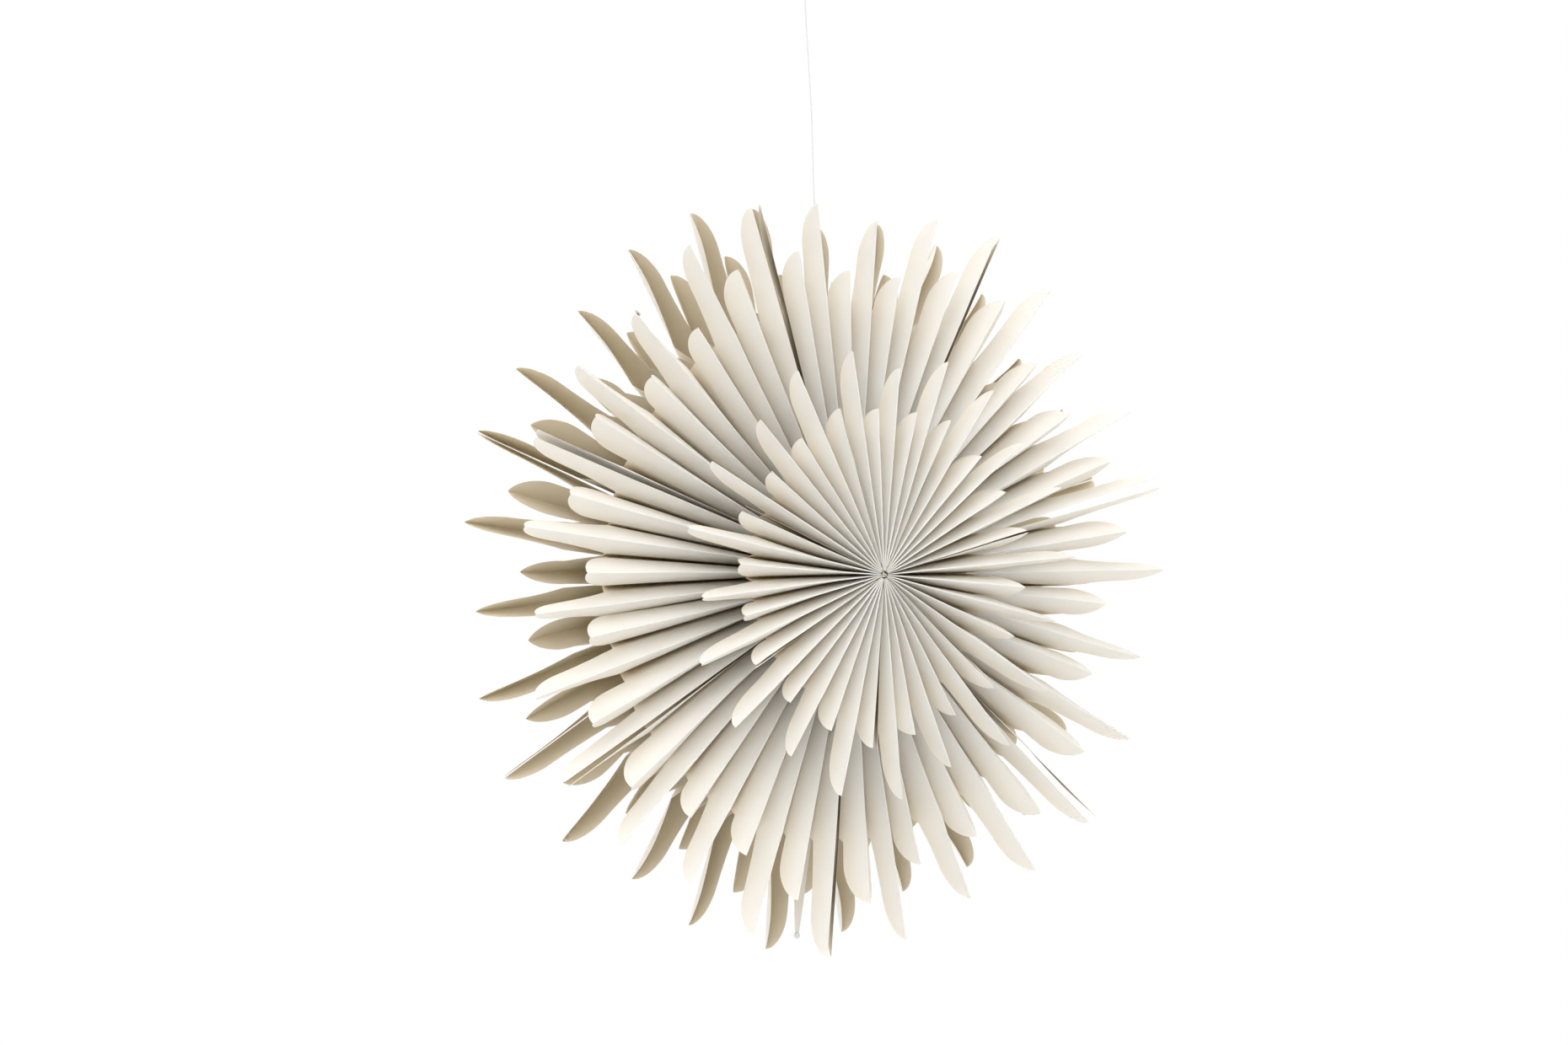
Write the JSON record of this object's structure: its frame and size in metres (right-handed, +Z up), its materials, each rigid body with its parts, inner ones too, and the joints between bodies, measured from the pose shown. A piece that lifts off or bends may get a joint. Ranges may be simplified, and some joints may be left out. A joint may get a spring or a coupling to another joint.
{
  "type": "hanging paper star",
  "caption": "Hanging star of pleated paper: large and small rosettes of pointed leaves, front and back, on one axis, with a thin thread and a loop for a hook.",
  "frame": {"origin": "inner top of the hanging loop, where a hook holds it", "axes": "+Z up along the thread, -Y towards the front of the star, +Y along the star's axis to its back"},
  "size_m": [0.4937, 0.1738, 0.6643],
  "materials": {
    "paper": "matt uncoated paper, warm white",
    "cord": "twisted cotton cord, natural",
    "thread": "thin white twisted thread",
    "metal": "bright nickel plate"
  },
  "bodies": {
    "root": {"large_front_1": "paper", "large_front_2": "paper", "large_front_3": "paper", "large_front_4": "paper", "large_front_5": "paper", "large_front_6": "paper", "large_front_7": "paper", "large_back_1": "paper", "large_back_2": "paper", "large_back_3": "paper", "large_back_4": "paper", "large_back_5": "paper", "large_back_6": "paper", "large_back_7": "paper", "small_front_1": "paper", "small_front_2": "paper", "small_front_3": "paper", "small_front_4": "paper", "small_front_5": "paper", "small_front_6": "paper", "small_front_7": "paper", "small_back_1": "paper", "small_back_2": "paper", "small_back_3": "paper", "small_back_4": "paper", "small_back_5": "paper", "small_back_6": "paper", "small_back_7": "paper", "closing_tab": "paper", "centre_cord": "cord", "tab_disc": "metal", "left_leaf_disc": "metal", "right_leaf_disc": "metal", "tie_knot": "thread", "hanging_thread": "thread", "loop_knot": "thread", "hanging_loop": "thread"}
  },
  "joints": []
}
